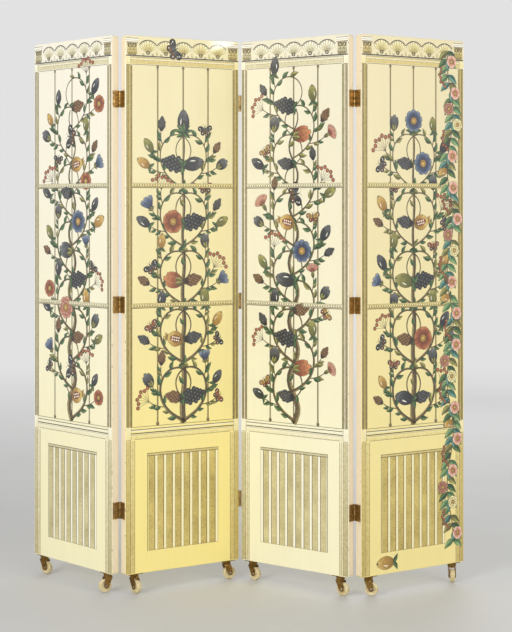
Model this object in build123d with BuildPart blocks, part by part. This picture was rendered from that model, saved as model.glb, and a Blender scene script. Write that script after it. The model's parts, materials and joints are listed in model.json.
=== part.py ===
from build123d import *
import os

# A folding screen of four painted boards on castors, standing open in a zigzag.
# Lengths are in millimetres and angles in degrees. Seen from the front, +X runs to the right,
# +Y away from the viewer and +Z up. The floor is at Z = 0, and the origin is under the middle.

# Panels, left to right. A panel's angle is its direction in plan, turned from +X.
panel_width = 490.0
panel_height = 1930.0
panel_thickness = 30.0
panel_angles = (-49.3, 33.6, -39.5, 34.5)
corner_radius = 8.0
arris_chamfer = 1.2
lipping_width = 20.0

# Folds, left to right. The pins stand behind the panels at 1 and before them at -1.
fold_sides = (1, -1, 1)

# Butt hinges, three to a fold, on the facing edges of two panels
hinge_height = 60.0
hinge_inset = 228.0
hinge_leaf_width = 27.0
hinge_leaf_thickness = 1.8
hinge_leaf_play = 0.2
knuckle_radius = 3.6
knuckle_count = 3
knuckle_play = 0.3
knuckle_clearance = 0.4
hinge_pin_radius = 1.5
hinge_pin_fit = 0.05

# Castors, two under each panel. A castor's yaw is the plan direction in which its wheel trails.
castor_inset = 46.0
castor_trail = 11.0
castor_height = 70.0
castor_yaws = ((-37.0, -150.0), (-50.0, 25.0), (-45.0, -37.0), (-15.0, -90.0))
plate_length = 58.0
plate_width = 27.0
plate_thickness = 2.5
cup_radius = 16.0
cup_mouth_radius = 14.5
cup_depth = 12.0
swivel_play = 0.3
fork_thickness = 2.5
fork_crown_length = 27.0
fork_bend_radius = 3.0
fork_end_radius = 9.0
kingpin_radius = 4.0
kingpin_fit = 0.05
kingpin_head_radius = 6.0
kingpin_head_thickness = 2.0
wheel_clearance = 4.7
wheel_width = 19.0
wheel_chamfer = 1.5
wheel_play = 1.0
axle_radius = 3.0
axle_fit = 0.05
axle_overhang = 1.5

# Worked out from the sizes above
edge_gap = 2 * (hinge_leaf_thickness + hinge_leaf_play)
pin_to_face = knuckle_radius + knuckle_clearance
pin_along = (panel_width + edge_gap) / 2
pin_across = panel_thickness / 2 + pin_to_face
knuckle_pitch = hinge_height / knuckle_count
hinge_centres = (hinge_inset, panel_height / 2, panel_height - hinge_inset)
core_width = panel_width - 2 * lipping_width
core_height = panel_height - 2 * lipping_width
castor_along = panel_width / 2 - castor_inset
cup_top = castor_height - plate_thickness
cup_bottom = cup_top - cup_depth
crown_top = cup_bottom - swivel_play
crown_bottom = crown_top - fork_thickness
wheel_radius = (crown_bottom - wheel_clearance) / 2
fork_inner_width = wheel_width + 2 * wheel_play
fork_outer_width = fork_inner_width + 2 * fork_thickness
axle_length = fork_outer_width + 2 * axle_overhang
sides = (-1, 1)
side_names = {-1: "left", 1: "right"}


def placed(along, across, angle):
    """A step in plan, given along and across a panel that stands at an angle."""
    return Vector(along, across).rotate(Axis.Z, angle)


def standing(plane):
    """The upright plane through a level plane's X axis, with its own Y axis up."""
    return Plane(origin=plane.origin, x_dir=plane.x_dir, z_dir=-plane.y_dir)


def write(piece, name):
    piece.label = name
    export_step(piece, f"parts/{name}.step")


# Plan of the zigzag, from the first panel through each pair of hinge pins to the next
centres = [Vector(0, 0)]
pins = []
for fold, side in enumerate(fold_sides):
    pins.append(centres[fold] + placed(pin_along, side * pin_across, panel_angles[fold]))
    centres.append(pins[fold] - placed(-pin_along, side * pin_across, panel_angles[fold + 1]))
corners = []
for centre, angle in zip(centres, panel_angles):
    for along in sides:
        for across in sides:
            step = placed(along * panel_width / 2, across * panel_thickness / 2, angle)
            corners.append(centre + step)
middle = Vector(
    (min(c.X for c in corners) + max(c.X for c in corners)) / 2,
    (min(c.Y for c in corners) + max(c.Y for c in corners)) / 2,
)
pins = [pin - middle for pin in pins]
panel_planes = [
    Plane(origin=centre - middle, x_dir=placed(1, 0, angle), z_dir=(0, 0, 1))
    for centre, angle in zip(centres, panel_angles)
]


def castor_plane(number, side):
    """The level plane at a castor's kingpin, with X in the direction in which the wheel trails."""
    yaw = castor_yaws[number][sides.index(side)]
    kingpin = panel_planes[number].from_local_coords((side * castor_along, 0, 0))
    return Plane(origin=kingpin, x_dir=placed(1, 0, yaw), z_dir=(0, 0, 1))


def board(plane):
    """The core of a panel, inside its lippings."""
    with BuildPart() as core:
        with BuildSketch(standing(plane)):
            with Locations((0, castor_height + panel_height / 2)):
                Rectangle(core_width, core_height)
        extrude(amount=panel_thickness / 2, both=True)
    return core.part


def lippings(plane):
    """Two stiles of full height and two rails between them, glued round the core."""
    with BuildPart() as band:
        with BuildSketch(standing(plane)):
            with Locations((0, castor_height + panel_height / 2)):
                RectangleRounded(panel_width, panel_height, corner_radius)
                Rectangle(core_width, core_height, mode=Mode.SUBTRACT)
        extrude(amount=panel_thickness / 2, both=True)
        broad_faces = band.faces().sort_by(SortBy.AREA)[-2:]
        arrises = [edge for face in broad_faces for edge in face.outer_wire().edges()]
        chamfer(arrises, length=arris_chamfer)
    with BuildPart() as stiles:
        add(band.part)
        with BuildSketch(plane):
            Rectangle(core_width, 2 * panel_thickness)
        extrude(amount=castor_height + 2 * panel_height, mode=Mode.SUBTRACT)
    with BuildPart() as rails:
        add(band.part)
        with BuildSketch(plane):
            Rectangle(core_width, 2 * panel_thickness)
        extrude(amount=castor_height + 2 * panel_height, mode=Mode.INTERSECT)
    return Compound(children=[*stiles.part.solids(), *rails.part.solids()])


def hinge_leaves(plane, edge, side, first_knuckle, bore_radius):
    """Three hinge leaves on one edge of a panel, each with every second knuckle of its hinge."""
    with BuildPart() as leaves:
        for centre in hinge_centres:
            bottom = castor_height + centre - hinge_height / 2
            plate_along = edge * (panel_width + hinge_leaf_thickness) / 2
            plate_across = side * (panel_thickness - hinge_leaf_width) / 2
            with BuildSketch(plane.offset(bottom)):
                with Locations((plate_along, plate_across)):
                    Rectangle(hinge_leaf_thickness, hinge_leaf_width)
            extrude(amount=hinge_height)
            for knuckle in range(first_knuckle, knuckle_count, 2):
                knuckle_bottom = bottom + knuckle * knuckle_pitch + knuckle_play / 2
                with BuildSketch(plane.offset(knuckle_bottom)):
                    with Locations((plate_along, side * (pin_across - pin_to_face / 2))):
                        Rectangle(hinge_leaf_thickness, pin_to_face)
                    with Locations((edge * pin_along, side * pin_across)):
                        Circle(knuckle_radius)
                        Circle(bore_radius, mode=Mode.SUBTRACT)
                extrude(amount=knuckle_pitch - knuckle_play)
    return leaves.part


def hinge_pins(pin):
    """The three pins of one fold, as long as their hinges."""
    with BuildPart() as rods:
        for centre in hinge_centres:
            bottom = castor_height + centre - hinge_height / 2
            with BuildSketch(Plane(origin=pin).offset(bottom)):
                Circle(hinge_pin_radius)
            extrude(amount=hinge_height)
    return rods.part


def castor_plate(plane):
    """The plate under a panel, with the cup that covers the swivel."""
    with BuildPart() as plate:
        with BuildSketch(plane.offset(cup_top)):
            Rectangle(plate_length, plate_width)
        extrude(amount=plate_thickness)
        with BuildSketch(plane.offset(cup_bottom)):
            Circle(cup_mouth_radius)
        with BuildSketch(plane.offset(cup_top)):
            Circle(cup_radius)
        loft()
        with BuildSketch(plane.offset(cup_bottom)):
            Circle(kingpin_radius)
        extrude(amount=castor_height - cup_bottom, mode=Mode.SUBTRACT)
    return plate.part


def kingpin(plane):
    """The rivet that holds a fork up in its plate and lets it swivel."""
    head_top = crown_bottom - swivel_play
    with BuildPart() as rivet:
        with BuildSketch(plane.offset(head_top)):
            Circle(kingpin_radius)
        extrude(amount=castor_height - head_top)
        with BuildSketch(plane.offset(head_top - kingpin_head_thickness)):
            Circle(kingpin_head_radius)
        extrude(amount=kingpin_head_thickness)
    return rivet.part


def fork(plane):
    """A bent fork: a crown under the cup, and two legs that taper down to the axle."""
    with BuildPart() as body:
        with BuildSketch(standing(plane)):
            with BuildLine():
                half = fork_crown_length / 2
                crown = [(-half, crown_bottom), (half, crown_bottom), (half, crown_top), (-half, crown_top)]
                Polyline(*crown, close=True)
                CenterArc((castor_trail, wheel_radius), fork_end_radius, 0, 360)
            make_hull()
        extrude(amount=fork_outer_width / 2, both=True)
        crown_edges = body.edges().filter_by(Axis(plane.origin, plane.x_dir))
        fillet(crown_edges.group_by(Axis.Z)[-1], radius=fork_bend_radius)
        with BuildSketch(plane):
            Rectangle(2 * (castor_trail + wheel_radius), fork_inner_width)
        extrude(amount=crown_bottom, mode=Mode.SUBTRACT)
        with BuildSketch(plane.offset(crown_bottom)):
            Circle(kingpin_radius + kingpin_fit)
        extrude(amount=fork_thickness, mode=Mode.SUBTRACT)
        with BuildSketch(standing(plane)):
            with Locations((castor_trail, wheel_radius)):
                Circle(axle_radius)
        extrude(amount=fork_outer_width / 2, both=True, mode=Mode.SUBTRACT)
    return body.part


def wheel(plane):
    with BuildPart() as disc:
        with BuildSketch(standing(plane)):
            with Locations((castor_trail, wheel_radius)):
                Circle(wheel_radius)
                Circle(axle_radius + axle_fit, mode=Mode.SUBTRACT)
        extrude(amount=wheel_width / 2, both=True)
        rims = disc.edges().filter_by(GeomType.CIRCLE).group_by(SortBy.RADIUS)[-1]
        chamfer(rims, length=wheel_chamfer)
    return disc.part


def axle(plane):
    """The axle, held in the fork's two legs and a little longer than the fork is wide."""
    with BuildPart() as rod:
        with BuildSketch(standing(plane)):
            with Locations((castor_trail, wheel_radius)):
                Circle(axle_radius)
        extrude(amount=axle_length / 2, both=True)
    return rod.part


os.makedirs("parts", exist_ok=True)

for number, plane in enumerate(panel_planes):
    write(board(plane), f"panel_{number + 1}_board")
    write(lippings(plane), f"panel_{number + 1}_lipping")

# The left panel's leaves have the outer knuckles and hold the pins, the right panel's turn on them.
for fold, side in enumerate(fold_sides):
    left_leaves = hinge_leaves(panel_planes[fold], 1, side, 0, hinge_pin_radius)
    turning_bore = hinge_pin_radius + hinge_pin_fit
    right_leaves = hinge_leaves(panel_planes[fold + 1], -1, side, 1, turning_bore)
    write(left_leaves, f"fold_{fold + 1}_hinge_leaves_left")
    write(right_leaves, f"fold_{fold + 1}_hinge_leaves_right")
    write(hinge_pins(pins[fold]), f"fold_{fold + 1}_hinge_pins")

for number, panel_plane in enumerate(panel_planes):
    for side in sides:
        swivel_plane = castor_plane(number, side)
        plate_plane = Plane(origin=swivel_plane.origin, x_dir=panel_plane.x_dir, z_dir=(0, 0, 1))
        name = f"castor_{number + 1}_{side_names[side]}"
        write(castor_plate(plate_plane), f"{name}_plate")
        write(kingpin(swivel_plane), f"{name}_kingpin")
        write(fork(swivel_plane), f"{name}_fork")
        write(wheel(swivel_plane), f"{name}_wheel")
        write(axle(swivel_plane), f"{name}_axle")
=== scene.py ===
import bmesh
import bpy
import json
import math
import random

import numpy as np
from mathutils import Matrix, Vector


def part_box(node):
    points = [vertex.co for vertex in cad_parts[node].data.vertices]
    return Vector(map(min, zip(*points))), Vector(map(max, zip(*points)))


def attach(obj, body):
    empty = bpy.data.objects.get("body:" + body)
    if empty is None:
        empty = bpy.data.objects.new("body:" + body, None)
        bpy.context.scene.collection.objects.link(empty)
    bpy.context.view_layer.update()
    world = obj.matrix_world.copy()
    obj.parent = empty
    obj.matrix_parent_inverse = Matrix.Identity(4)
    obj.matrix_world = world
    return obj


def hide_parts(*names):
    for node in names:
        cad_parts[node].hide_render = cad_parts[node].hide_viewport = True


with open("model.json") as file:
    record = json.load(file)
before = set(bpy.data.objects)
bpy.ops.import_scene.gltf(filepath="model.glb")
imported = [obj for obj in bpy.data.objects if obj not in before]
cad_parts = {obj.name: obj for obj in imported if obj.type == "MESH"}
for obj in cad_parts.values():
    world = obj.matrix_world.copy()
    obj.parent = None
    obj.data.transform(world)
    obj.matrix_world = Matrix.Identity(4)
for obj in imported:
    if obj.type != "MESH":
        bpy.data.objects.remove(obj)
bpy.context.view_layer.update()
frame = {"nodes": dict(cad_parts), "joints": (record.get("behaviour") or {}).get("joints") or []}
dice = random.Random(7)

# The painted decoration, in millimetres. On a panel X runs from its left edge and Y up from its bottom.
MM = 0.001

# How far paint goes into the board, how much each stroke lies over the last, and where each layer starts
PAINT_SINK = 0.05
PAINT_STEP = 0.02
TINT_LIFT = 0.05
LINE_LIFT = 0.1
STEM_LIFT = 0.2
LEAF_LIFT = 0.3
MOTIF_LIFT = 0.38
RAIL_LIFT = 0.8
GARLAND_LIFT = 0.9

# The dark outline round a stroke, and the least width of a stroke
INK_EDGE = 0.9
LEAST_WIDTH = 0.3

# Heights on a panel, measured down from its top, and a rail's own height
CAPITAL_TOP = 10.0
CAPITAL_SLAB_BOTTOM = 24.0
CAPITAL_FOOT = 68.0
SHELL_FOOT = 62.0
BAND_TOP = 78.0
BAND_BOTTOM = 100.0
FIELD_TOP = 103.0
RAIL_TOPS = (529.0, 962.0)
RAIL_HEIGHT = 16.0
FIELD_BOTTOM = 1404.0
CAP_TOP = 1414.0
CAP_BOTTOM = 1427.0
DADO_TOP = 1448.0

# Widths, and places across a panel: from the nearer edge for what both edges have, else from the left
MARGIN = 3.0
PILASTER = 28.0
CAPITAL_WIDTH = 50.0
DADO_STEP = 22.0
DADO_PILASTER = 39.0
BARS = (135.0, 244.0, 352.0)
BAR_WIDTH = 6.0
BEAD_PITCH = 11.0

# The shells of the frieze, with the angle between their lobes and the arch over each
SHELLS = 5
SHELL_PITCH = 75.2
LOBE_ANGLE = 0.28
LOBE_START = 7.0
LOBE_REACH = 46.0
LOBE_WIDTH = 11.5
ARCH_RADIUS = 47.5
ARCH_WIDTH = 3.0

# The louvres, with heights measured up from the panel's bottom
LOUVRES = 8
LOUVRE_LEFT = 93.0
LOUVRE_RIGHT = 396.0
LOUVRE_BOTTOM = 78.0
LOUVRE_TOP = 428.0
LOUVRE_HEAD = 419.0
LOUVRE_FRAME = 5.0
LOUVRE_GAP = 12.0

# The climbing plants. SCROLLS is for a single file of scrolls and KNOTS for pairs of them. A twig's place is
# a share of its scroll's length, its own length a share of the scroll's size, and LEAF_WIDTH one of a leaf's.
SCROLL_SIZE = 100.0
SCROLL_RISE = 106.0
SCROLLS = 11
KNOTS = 5
TRUNK_WIDTH = 24.0
TWIGS = ((0.2, 0.74), (0.31, 0.5), (0.43, 0.52))
LEAF_WIDTH = 0.46

# The garland: its line across the panel, its waves, the rise from leaf to leaf and the gaps at its ends
GARLAND_MIDDLE = 422.0
GARLAND_SWAY = 15.0
GARLAND_WAVE = 62.0
GARLAND_PITCH = 29.0
GARLAND_TOP_GAP = 44.0
GARLAND_FOOT_GAP = 72.0

# How wide a petal or leaf is from its base to its tip
ROUND = (0.3, 0.68, 0.93, 1.0, 0.86, 0.4)
POINTED = (0.25, 0.78, 1.0, 0.85, 0.48, 0.05)
FLARED = (0.25, 0.4, 0.6, 0.85, 1.0, 0.62)
BODY = (0.4, 0.82, 1.0, 0.98, 0.75, 0.3)
WING = (0.22, 0.55, 0.85, 1.0, 0.95, 0.5)


def step(angle, distance=1.0):
    return distance * np.array([math.cos(angle), math.sin(angle)])


def bow(start, heading, length, bend, count, tighten=1.0):
    """Points along a curve that turns by bend in all. With tighten above 1 it curls up towards its end."""
    points = [np.array(start, float)]
    for i in range(1, count):
        along = (i - 0.5) / (count - 1)
        points.append(points[-1] + step(heading + bend * along**tighten, length / (count - 1)))
    return np.array(points)


def headings(spine):
    ahead = np.gradient(np.array(spine, float), axis=0)
    return np.arctan2(ahead[:, 1], ahead[:, 0])


def edges(spine, widths):
    """The left and the right edge of a stroke along a spine."""
    sideways = headings(spine) + math.pi / 2
    across = np.stack([np.cos(sideways), np.sin(sideways)], 1)
    half = np.maximum(np.broadcast_to(widths, len(spine)), LEAST_WIDTH)[:, None] / 2
    return spine + across * half, spine - across * half


def between(first, last, count):
    return np.linspace(first, last, count)


def add_object(name, data):
    thing = bpy.data.objects.new(name, data)
    bpy.context.scene.collection.objects.link(thing)
    return thing


def add_piece(name, mesh, body):
    piece = add_object(name, mesh)
    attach(piece, body)
    return piece


class Face:
    """A flat face to draw on. Every stroke is a thin closed slab, and strokes are gathered by colour."""

    def __init__(self, origin, along, up, mirrored_about=None):
        self.origin = np.array(origin, float)
        self.axes = np.array([along, up, np.cross(along, up)], float)
        self.mirrored_about = mirrored_about
        self.lift = LINE_LIFT
        self.strokes = {}

    def at(self, places):
        """Where places on the face, in millimetres, are in the room, in metres."""
        return self.origin + MM * np.array(places) @ self.axes

    def raise_paint(self):
        self.lift += PAINT_STEP

    def flip(self, points):
        if self.mirrored_about is None:
            return points
        return points * (-1, 1) + (2 * self.mirrored_about, 0)

    def layer(self, colour):
        """The points, faces and tones drawn so far in one colour."""
        return self.strokes.setdefault(colour, ([], [], []))

    def strip(self, colour, left, right, tones):
        """A slab between two lines of points, with a tone for each pair."""
        left = self.flip(np.array(left, float))
        right = self.flip(np.array(right, float))
        if self.mirrored_about is not None:
            left, right = right, left
        count = len(left)
        rings = np.empty((count, 4, 3))
        rings[:, 0, :2] = rings[:, 2, :2] = left
        rings[:, 1, :2] = rings[:, 3, :2] = right
        rings[:, :2, 2] = self.lift
        rings[:, 2:, 2] = -PAINT_SINK
        points, faces, shades = self.layer(colour)
        first = len(points)
        last = first + 4 * (count - 1)
        points.extend(rings.reshape(-1, 3))
        shades.extend(np.repeat(np.broadcast_to(tones, count), 4))
        for a in range(first, last, 4):
            b = a + 4
            faces += [(a, a + 1, b + 1, b), (a + 2, b + 2, b + 3, a + 3)]
            faces += [(a, b, b + 2, a + 2), (a + 1, a + 3, b + 3, b + 1)]
        faces += [(first, first + 2, first + 3, first + 1), (last, last + 1, last + 3, last + 2)]

    def ribbon(self, colour, spine, widths, tones=0.5):
        self.strip(colour, *edges(np.array(spine, float), widths), tones)

    def line(self, colour, start, end, width, tones=0.5):
        self.ribbon(colour, [start, end], width, tones)

    def box(self, colour, left, bottom, right, top, tones):
        self.strip(colour, [(left, bottom), (left, top)], [(right, bottom), (right, top)], tones)

    def disc(self, colour, centre, radius, tones=(0.5, 0.5), squash=1.0, sides=10):
        """A round or oval slab, with one tone at its middle and one at its edge."""
        angles = between(0, 2 * math.pi, sides + 1)[:-1]
        rim = self.flip(centre + radius * np.stack([np.cos(angles), squash * np.sin(angles)], 1))
        if self.mirrored_about is not None:
            rim = rim[::-1]
        points, faces, shades = self.layer(colour)
        hub = len(points)
        top = hub + 1
        low = top + sides
        points.append((*rim.mean(0), self.lift))
        points += [(*place, self.lift) for place in rim]
        points += [(*place, -PAINT_SINK) for place in rim]
        shades += [tones[0]] + [tones[1]] * (2 * sides)
        for i in range(sides):
            after = (i + 1) % sides
            faces.append((hub, top + i, top + after))
            faces.append((top + after, top + i, low + i, low + after))
        faces.append(tuple(low + i for i in reversed(range(sides))))

    def pieces(self, name, body, slot, paints):
        """Makes one object of each colour, named after it."""
        for colour, (points, faces, shades) in self.strokes.items():
            mesh = bpy.data.meshes.new(f"{name}_{colour}")
            mesh.from_pydata(self.at(points).tolist(), [], faces)
            tone = mesh.attributes.new("tone", "FLOAT", "POINT")
            tone.data.foreach_set("value", np.array(shades, np.float32))
            mesh.materials.append(paints[colour])
            add_piece(f"{name}_{colour}", mesh, body)


def corners_of(name):
    """The places of all the vertices of a CAD node."""
    return np.array([vertex.co for vertex in frame["nodes"][name].data.vertices])


class Panel(Face):
    """The front or back of a panel, with its size in millimetres."""

    def __init__(self, number, side=1, mirrored=False):
        self.number = number
        core = corners_of(f"panel_{number}_board")
        middle = (core.min(0) + core.max(0)) / 2
        plan = np.linalg.svd(core[:, :2] - middle[:2], full_matrices=False)[2][0]
        along = side * np.sign(plan[0]) * np.array([*plan, 0.0])
        out = np.cross(along, (0, 0, 1))
        rim = corners_of(f"panel_{number}_lipping") - middle
        self.width = 2 * np.max(rim @ along) / MM
        self.height = 2 * np.max(rim[:, 2]) / MM
        self.thickness = 2 * np.max(rim @ out) / MM
        corner = (-self.width / 2, -self.height / 2, self.thickness / 2)
        origin = middle + MM * np.array(corner) @ np.array([along, (0, 0, 1), out])
        super().__init__(origin, along, (0, 0, 1), self.width / 2 if mirrored else None)

    def down(self, distance):
        return self.height - distance


def petal(face, colour, base, heading, length, width, bend, outline, tones=(0.1, 0.9), veins=3):
    """One petal, wing or fruit: a dark outline, its colour shaded from base to tip, and fine veins."""
    spine = bow(base, heading, length, bend, len(outline))
    widths = width * np.array(outline)
    ends = spine.copy()
    ends[0] -= step(heading, INK_EDGE)
    ends[-1] += step(heading + bend, INK_EDGE)
    face.raise_paint()
    face.ribbon("ink", ends, widths + 2 * INK_EDGE)
    face.raise_paint()
    face.ribbon(colour, spine, widths, between(*tones, len(outline)))
    face.raise_paint()
    for i in range(veins):
        share = 1.1 * ((i + 0.5) / veins - 0.5)
        left, right = edges(spine, abs(share) * widths)
        vein = left if share > 0 else right
        face.ribbon("ink", vein[1:-1], between(0.9, 0.4, len(outline) - 2), 0.4)


def leaf(face, base, heading, length, bend, colour="green"):
    """A leaf with one half in the light, a dark outline and a midrib."""
    spine = bow(base, heading, length, bend, len(POINTED))
    widths = LEAF_WIDTH * length * np.array(POINTED)
    ends = spine.copy()
    ends[-1] += step(heading + bend, 1.5 * INK_EDGE)
    face.raise_paint()
    face.ribbon("ink", ends, widths + 2 * INK_EDGE)
    face.raise_paint()
    left, right = edges(spine, widths)
    face.strip(colour, left, spine, between(0.15, 0.45, len(spine)))
    face.strip(colour, spine, right, between(0.55, 0.95, len(spine)))
    face.raise_paint()
    face.ribbon("ink", spine[:-1], between(1.1, 0.5, len(spine) - 1))


def leaves_round(face, base, heading, length, count=3, spread=0.9, colour="green"):
    for i in range(count):
        turn = spread * (i - (count - 1) / 2)
        leaf(face, base, heading + turn, length, 0.5 * np.sign(turn), colour)


def stem(face, spine, first_width, last_width):
    """A branch with a dark outline, a lit side and short strokes of bark."""
    widths = between(first_width, last_width, len(spine))
    face.lift = STEM_LIFT
    face.ribbon("ink", spine, widths + 1.4 * INK_EDGE)
    if first_width < 2.5:
        return
    face.raise_paint()
    left, right = edges(np.array(spine), widths)
    middle = left * 0.62 + right * 0.38
    face.strip("bark", left, middle, between(0.9, 0.75, len(spine)))
    face.strip("bark", middle, right, between(0.45, 0.25, len(spine)))
    face.raise_paint()
    for i in range(1, len(spine) - 2, 2):
        share = dice.uniform(0.25, 0.75)
        scratch = left[i : i + 3] * share + right[i : i + 3] * (1 - share)
        face.ribbon("ink", scratch, 0.07 * first_width)


def ball(face, colour, centre, radius, rim=INK_EDGE, shade=0.3, sides=10):
    """A disc with a dark outline, lit in its middle."""
    face.raise_paint()
    face.disc("ink", centre, radius + rim, sides=sides)
    face.raise_paint()
    face.disc(colour, centre, radius, (0.9, shade), sides=sides)


def heart(face, centre, radius, colour="ochre"):
    ball(face, colour, centre, radius)
    face.raise_paint()
    for i in range(6):
        face.disc("ink", centre + step(i * math.pi / 3, 0.55 * radius), 0.13 * radius, sides=6)


def rosette(face, base, heading, size, colour, petals, rings=1):
    """A flower seen from the front, its middle half its size beyond the base."""
    radius = size / 2
    centre = base + step(heading, radius)
    for ring in range(rings):
        reach = radius * (1 - 0.36 * ring)
        for i in range(petals):
            turn = heading + 2 * math.pi * (i + 0.5 * ring) / petals
            width = 6.4 * reach / petals
            start = centre + step(turn, 0.15 * reach)
            petal(face, colour, start, turn, 0.85 * reach, width, 0.12, ROUND, (0.05 + 0.2 * ring, 0.85))
    heart(face, centre, 0.17 * size)


def tulip(face, base, heading, size, colour="rust"):
    for turn in (-0.42, 0.42):
        petal(face, colour, base, heading + 1.6 * turn, 0.92 * size, 0.3 * size, -2.1 * turn, BODY)
    petal(face, colour, base, heading, size, 0.42 * size, 0.0, BODY, (0.25, 1.0), 4)
    for turn in (-0.55, 0.55):
        leaf(face, base, heading + turn, 0.42 * size, -turn, "moss")


def carnation(face, base, heading, size):
    cup = base + step(heading, 0.36 * size)
    for row, reach in ((4, 0.64), (3, 0.5)):
        for i in range(2 * row):
            turn = heading + (i - row + 0.5) * 1.012 / row
            petal(face, "salmon", cup, turn, reach * size, 0.24 * size, 0.0, FLARED, (0.0, 0.9), 2)
    petal(face, "moss", base, heading, 0.44 * size, 0.24 * size, 0.0, BODY, (0.1, 0.8), 2)


def pomegranate(face, base, heading, size):
    crown = base + step(heading, 0.7 * size)
    for turn in (-0.5, 0.5, 0.0):
        petal(face, "ochre", crown, heading + turn, 0.3 * size, 0.13 * size, 0.3 * turn, POINTED,
              (0.1, 0.8), 1)
    petal(face, "ochre", base, heading, 0.78 * size, 0.68 * size, 0.0, BODY, (0.1, 0.95), 0)
    split = base + step(heading, 0.1 * size)
    petal(face, "rust", split, heading, 0.56 * size, 0.3 * size, 0.0, BODY, (0.1, 0.6), 0)
    for i in range(4):
        place = base + step(heading, (0.2 + 0.11 * i) * size)
        for side in (-1, 1):
            face.disc("pale", place + step(heading + side * math.pi / 2, 0.06 * size), 0.04 * size, sides=6)


def cone(face, base, heading, size, colour="brown"):
    """A cone of overlapping scales, laid from the tip down."""
    petal(face, colour, base, heading, 0.9 * size, 0.42 * size, 0.0, BODY, (0.0, 0.4), 0)
    for row, count in enumerate((1, 2, 3, 4, 3, 4, 3)):
        place = base + step(heading, size * (0.72 - 0.1 * row))
        for i in range(count):
            aside = (i - (count - 1) / 2) * 0.115 * size
            start = place + step(heading + math.pi / 2, aside)
            turn = heading + 1.7 * aside / size
            petal(face, colour, start, turn, 0.22 * size, 0.14 * size, 0.0, POINTED, (0.0, 1.0), 1)


def grapes(face, base, heading, size):
    radius = 0.105 * size
    for row, count in enumerate((3, 4, 3, 4, 3, 2, 1)):
        place = base + step(heading, radius + row * 1.45 * radius)
        for i in range(count):
            centre = place + step(heading + math.pi / 2, (i - (count - 1) / 2) * 1.8 * radius)
            ball(face, "slate", centre, radius, 0.12 * radius, 0.1)
            face.lift -= PAINT_STEP
    face.raise_paint()
    leaves_round(face, base, heading + math.pi, 0.32 * size, 2, 1.9)


def fruit(face, base, heading, size, colour="ochre"):
    petal(face, colour, base, heading, size, 0.62 * size, 0.0, BODY, (0.2, 0.8), 0)
    shine = bow(base + step(heading + 0.45, 0.35 * size), heading, 0.32 * size, -0.3, 4)
    face.ribbon("pale", shine, (0.3, 0.05 * size, 0.05 * size, 0.3), 0.8)
    eye = base + step(heading, 0.96 * size)
    petal(face, "ink", eye, heading, 0.09 * size, 0.06 * size, 0.0, POINTED, veins=0)
    leaves_round(face, base, heading + math.pi, 0.42 * size, 2, 1.5)


def berries(face, base, heading, size):
    for i in range(7):
        turn = (i - 3) * 0.28
        stalk = bow(base, heading + turn, size * (0.95 - 0.12 * (i % 2)), 0.2 * turn, 4)
        face.ribbon("ink", stalk, 1.0)
        ball(face, "rust", stalk[-1], 0.13 * size, sides=8)
        face.lift -= 2 * PAINT_STEP


def bellflower(face, base, heading, size):
    for turn in (-0.3, 0.3, 0.0):
        petal(face, "blue", base, heading + turn, 0.9 * size, 0.34 * size, 0.8 * turn, FLARED, (0.0, 0.9), 2)
    leaves_round(face, base, heading, 0.26 * size, 3, 0.8, "moss")


def butterfly(face, base, heading, size, colour="rust", hind="brown"):
    """Seen from above, with its body along the heading. Size is its span."""
    middle = base + step(heading, 0.1 * size)
    for side in (-1, 1):
        for wing, turn, length, width, bend, veins in ((hind, 2.15, 0.4, 0.3, 0.3, 3),
                                                       (colour, 1.05, 0.56, 0.34, 0.5, 4)):
            petal(face, wing, middle, heading + side * turn, length * size, width * size, bend * side, WING,
                  (0.9, 0.0), veins)
        for turn, reach, spot in ((1.2, 0.43, 0.04), (1.42, 0.36, 0.03), (2.2, 0.29, 0.035)):
            face.disc("pale", middle + step(heading + side * turn, reach * size), spot * size, sides=7)
        feeler = bow(base + step(heading, 0.3 * size), heading + 0.2 * side, 0.24 * size, 0.9 * side, 5)
        face.ribbon("ink", feeler, 0.8)
    face.raise_paint()
    tail = base - step(heading, 0.16 * size)
    petal(face, "ink", tail, heading, 0.5 * size, 0.07 * size, 0.0, BODY, veins=0)


# What draws each motif, and with what colours and numbers of petals and rings
MOTIFS = {
    "peony": (rosette, "salmon", 8, 2),
    "daisy": (rosette, "blue", 9),
    "briar": (rosette, "rust", 5),
    "blush": (rosette, "blush", 5),
    "cream_rose": (rosette, "straw", 6, 2),
    "tulip": (tulip,),
    "dusk_tulip": (tulip, "slate"),
    "carnation": (carnation,),
    "pomegranate": (pomegranate,),
    "cone": (cone,),
    "dark_cone": (cone, "slate"),
    "grapes": (grapes,),
    "plum": (fruit, "slate"),
    "pear": (fruit,),
    "quince": (fruit, "moss"),
    "berries": (berries,),
    "bellflower": (bellflower,),
    "butterfly": (butterfly,),
    "yellow_butterfly": (butterfly, "ochre", "rust"),
    "dark_butterfly": (butterfly, "slate", "brown"),
}


def motif(face, kind, base, heading, size, lift=MOTIF_LIFT):
    draw, *looks = MOTIFS[kind]
    face.lift = lift
    draw(face, np.array(base, float), heading, size, *looks)


def dress(face, spine, every, side, length):
    """Leaves along a branch, most of them on its outer side."""
    turned = headings(spine)
    for i in range(every, len(spine) - every, every):
        face.lift = LEAF_LIFT
        outward = side if (i // every) % 3 else -side
        colour = "moss" if dice.random() < 0.25 else "green"
        heading = turned[i] + outward * dice.uniform(0.6, 1.1)
        leaf(face, spine[i], heading, length * dice.uniform(0.8, 1.15), -0.6 * outward, colour)


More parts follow.
